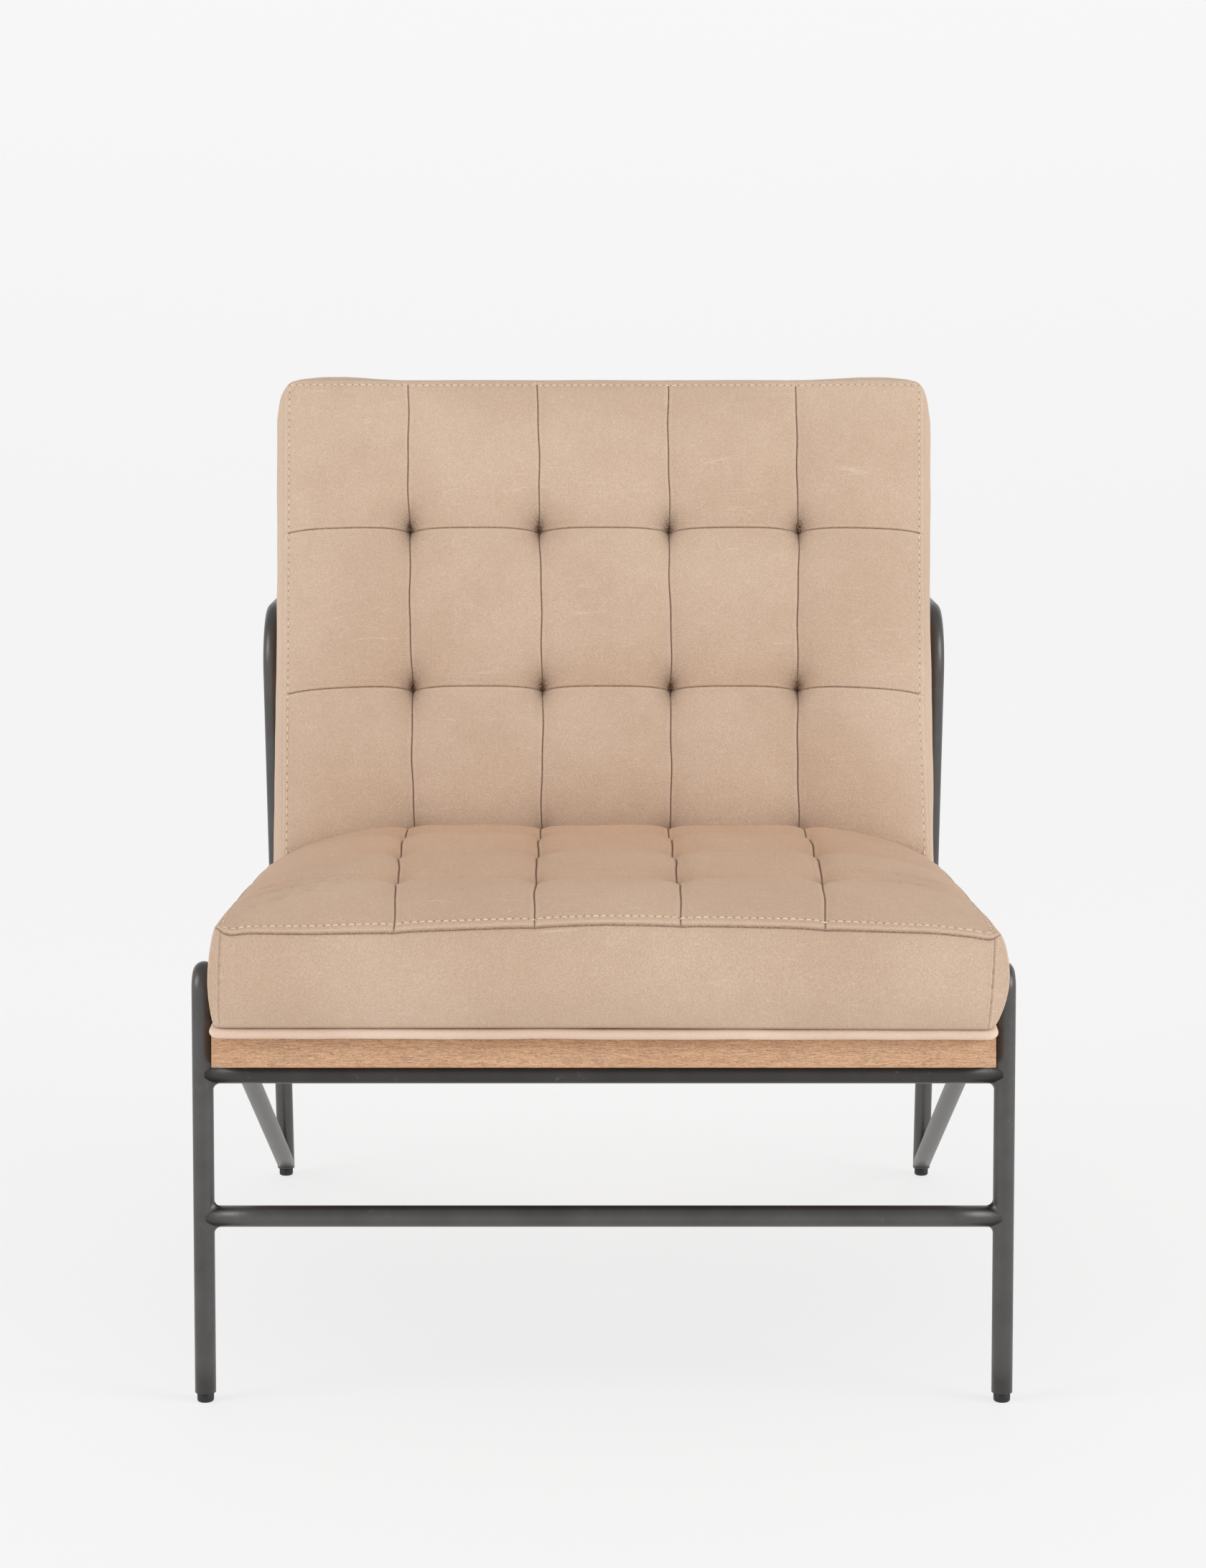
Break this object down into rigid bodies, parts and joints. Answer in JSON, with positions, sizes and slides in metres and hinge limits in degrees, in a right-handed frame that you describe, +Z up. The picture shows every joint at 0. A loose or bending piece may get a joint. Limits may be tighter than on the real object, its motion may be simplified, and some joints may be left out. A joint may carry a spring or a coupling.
{
  "type": "accent chair",
  "caption": "Armless accent chair: tufted leather seat and reclined back with welted edges, on timber bases in a welded round-tube steel frame.",
  "frame": {"origin": "on the floor, under the middle of the chair's bounding box", "axes": "+Z up from the floor, +Y from the chair's front to its back (the front faces -Y), +X to the right of someone who looks at the front of the chair"},
  "size_m": [0.6804, 0.8008, 0.8341],
  "materials": {
    "frame_steel": "gunmetal grey, satin, over round steel tube and flat bar",
    "screw_steel": "zinc-plated coach screws",
    "black_plastic": "moulded, matte",
    "solid_wood": "light brown, planed, bare",
    "plywood": "sanded plywood",
    "plain_wood": "sawn softwood",
    "leather": "light tan nubuck, matte, with light scratches",
    "foam": "upholstery foam",
    "tape": "woven cotton tape",
    "dust_cloth": "black non-woven cloth"
  },
  "bodies": {
    "root": {"angle_bracket_left": "frame_steel", "angle_bracket_right": "frame_steel", "angle_screws": "screw_steel", "back_board": "plywood", "back_bracket_left": "frame_steel", "back_bracket_right": "frame_steel", "back_cover_boxing": "leather", "back_cover_panel": "leather", "back_foam": "foam", "back_foot_board": "solid_wood", "back_panel": "plywood", "back_rail": "frame_steel", "back_stile_left": "solid_wood", "back_stile_right": "solid_wood", "back_top_board": "solid_wood", "back_tuft_tapes": "tape", "back_tuft_toggles": "plain_wood", "back_welt": "leather", "base_corner_blocks": "plain_wood", "base_front_board": "solid_wood", "base_rear_board": "solid_wood", "base_screws": "screw_steel", "base_side_left": "solid_wood", "base_side_right": "solid_wood", "front_glides": "black_plastic", "front_leg_left": "frame_steel", "front_leg_right": "frame_steel", "front_rail": "frame_steel", "front_stretcher": "frame_steel", "plate_screws": "screw_steel", "rear_glides": "black_plastic", "rear_leg_left": "frame_steel", "rear_leg_right": "frame_steel", "rear_rail": "frame_steel", "seat_bearer_left": "frame_steel", "seat_bearer_right": "frame_steel", "seat_board": "plywood", "seat_cover_boxing": "leather", "seat_cover_panel": "leather", "seat_dust_cloth": "dust_cloth", "seat_foam": "foam", "seat_tuft_tapes": "tape", "seat_tuft_toggles": "plain_wood", "seat_welt": "leather", "top_plugs": "black_plastic"}
  },
  "joints": []
}
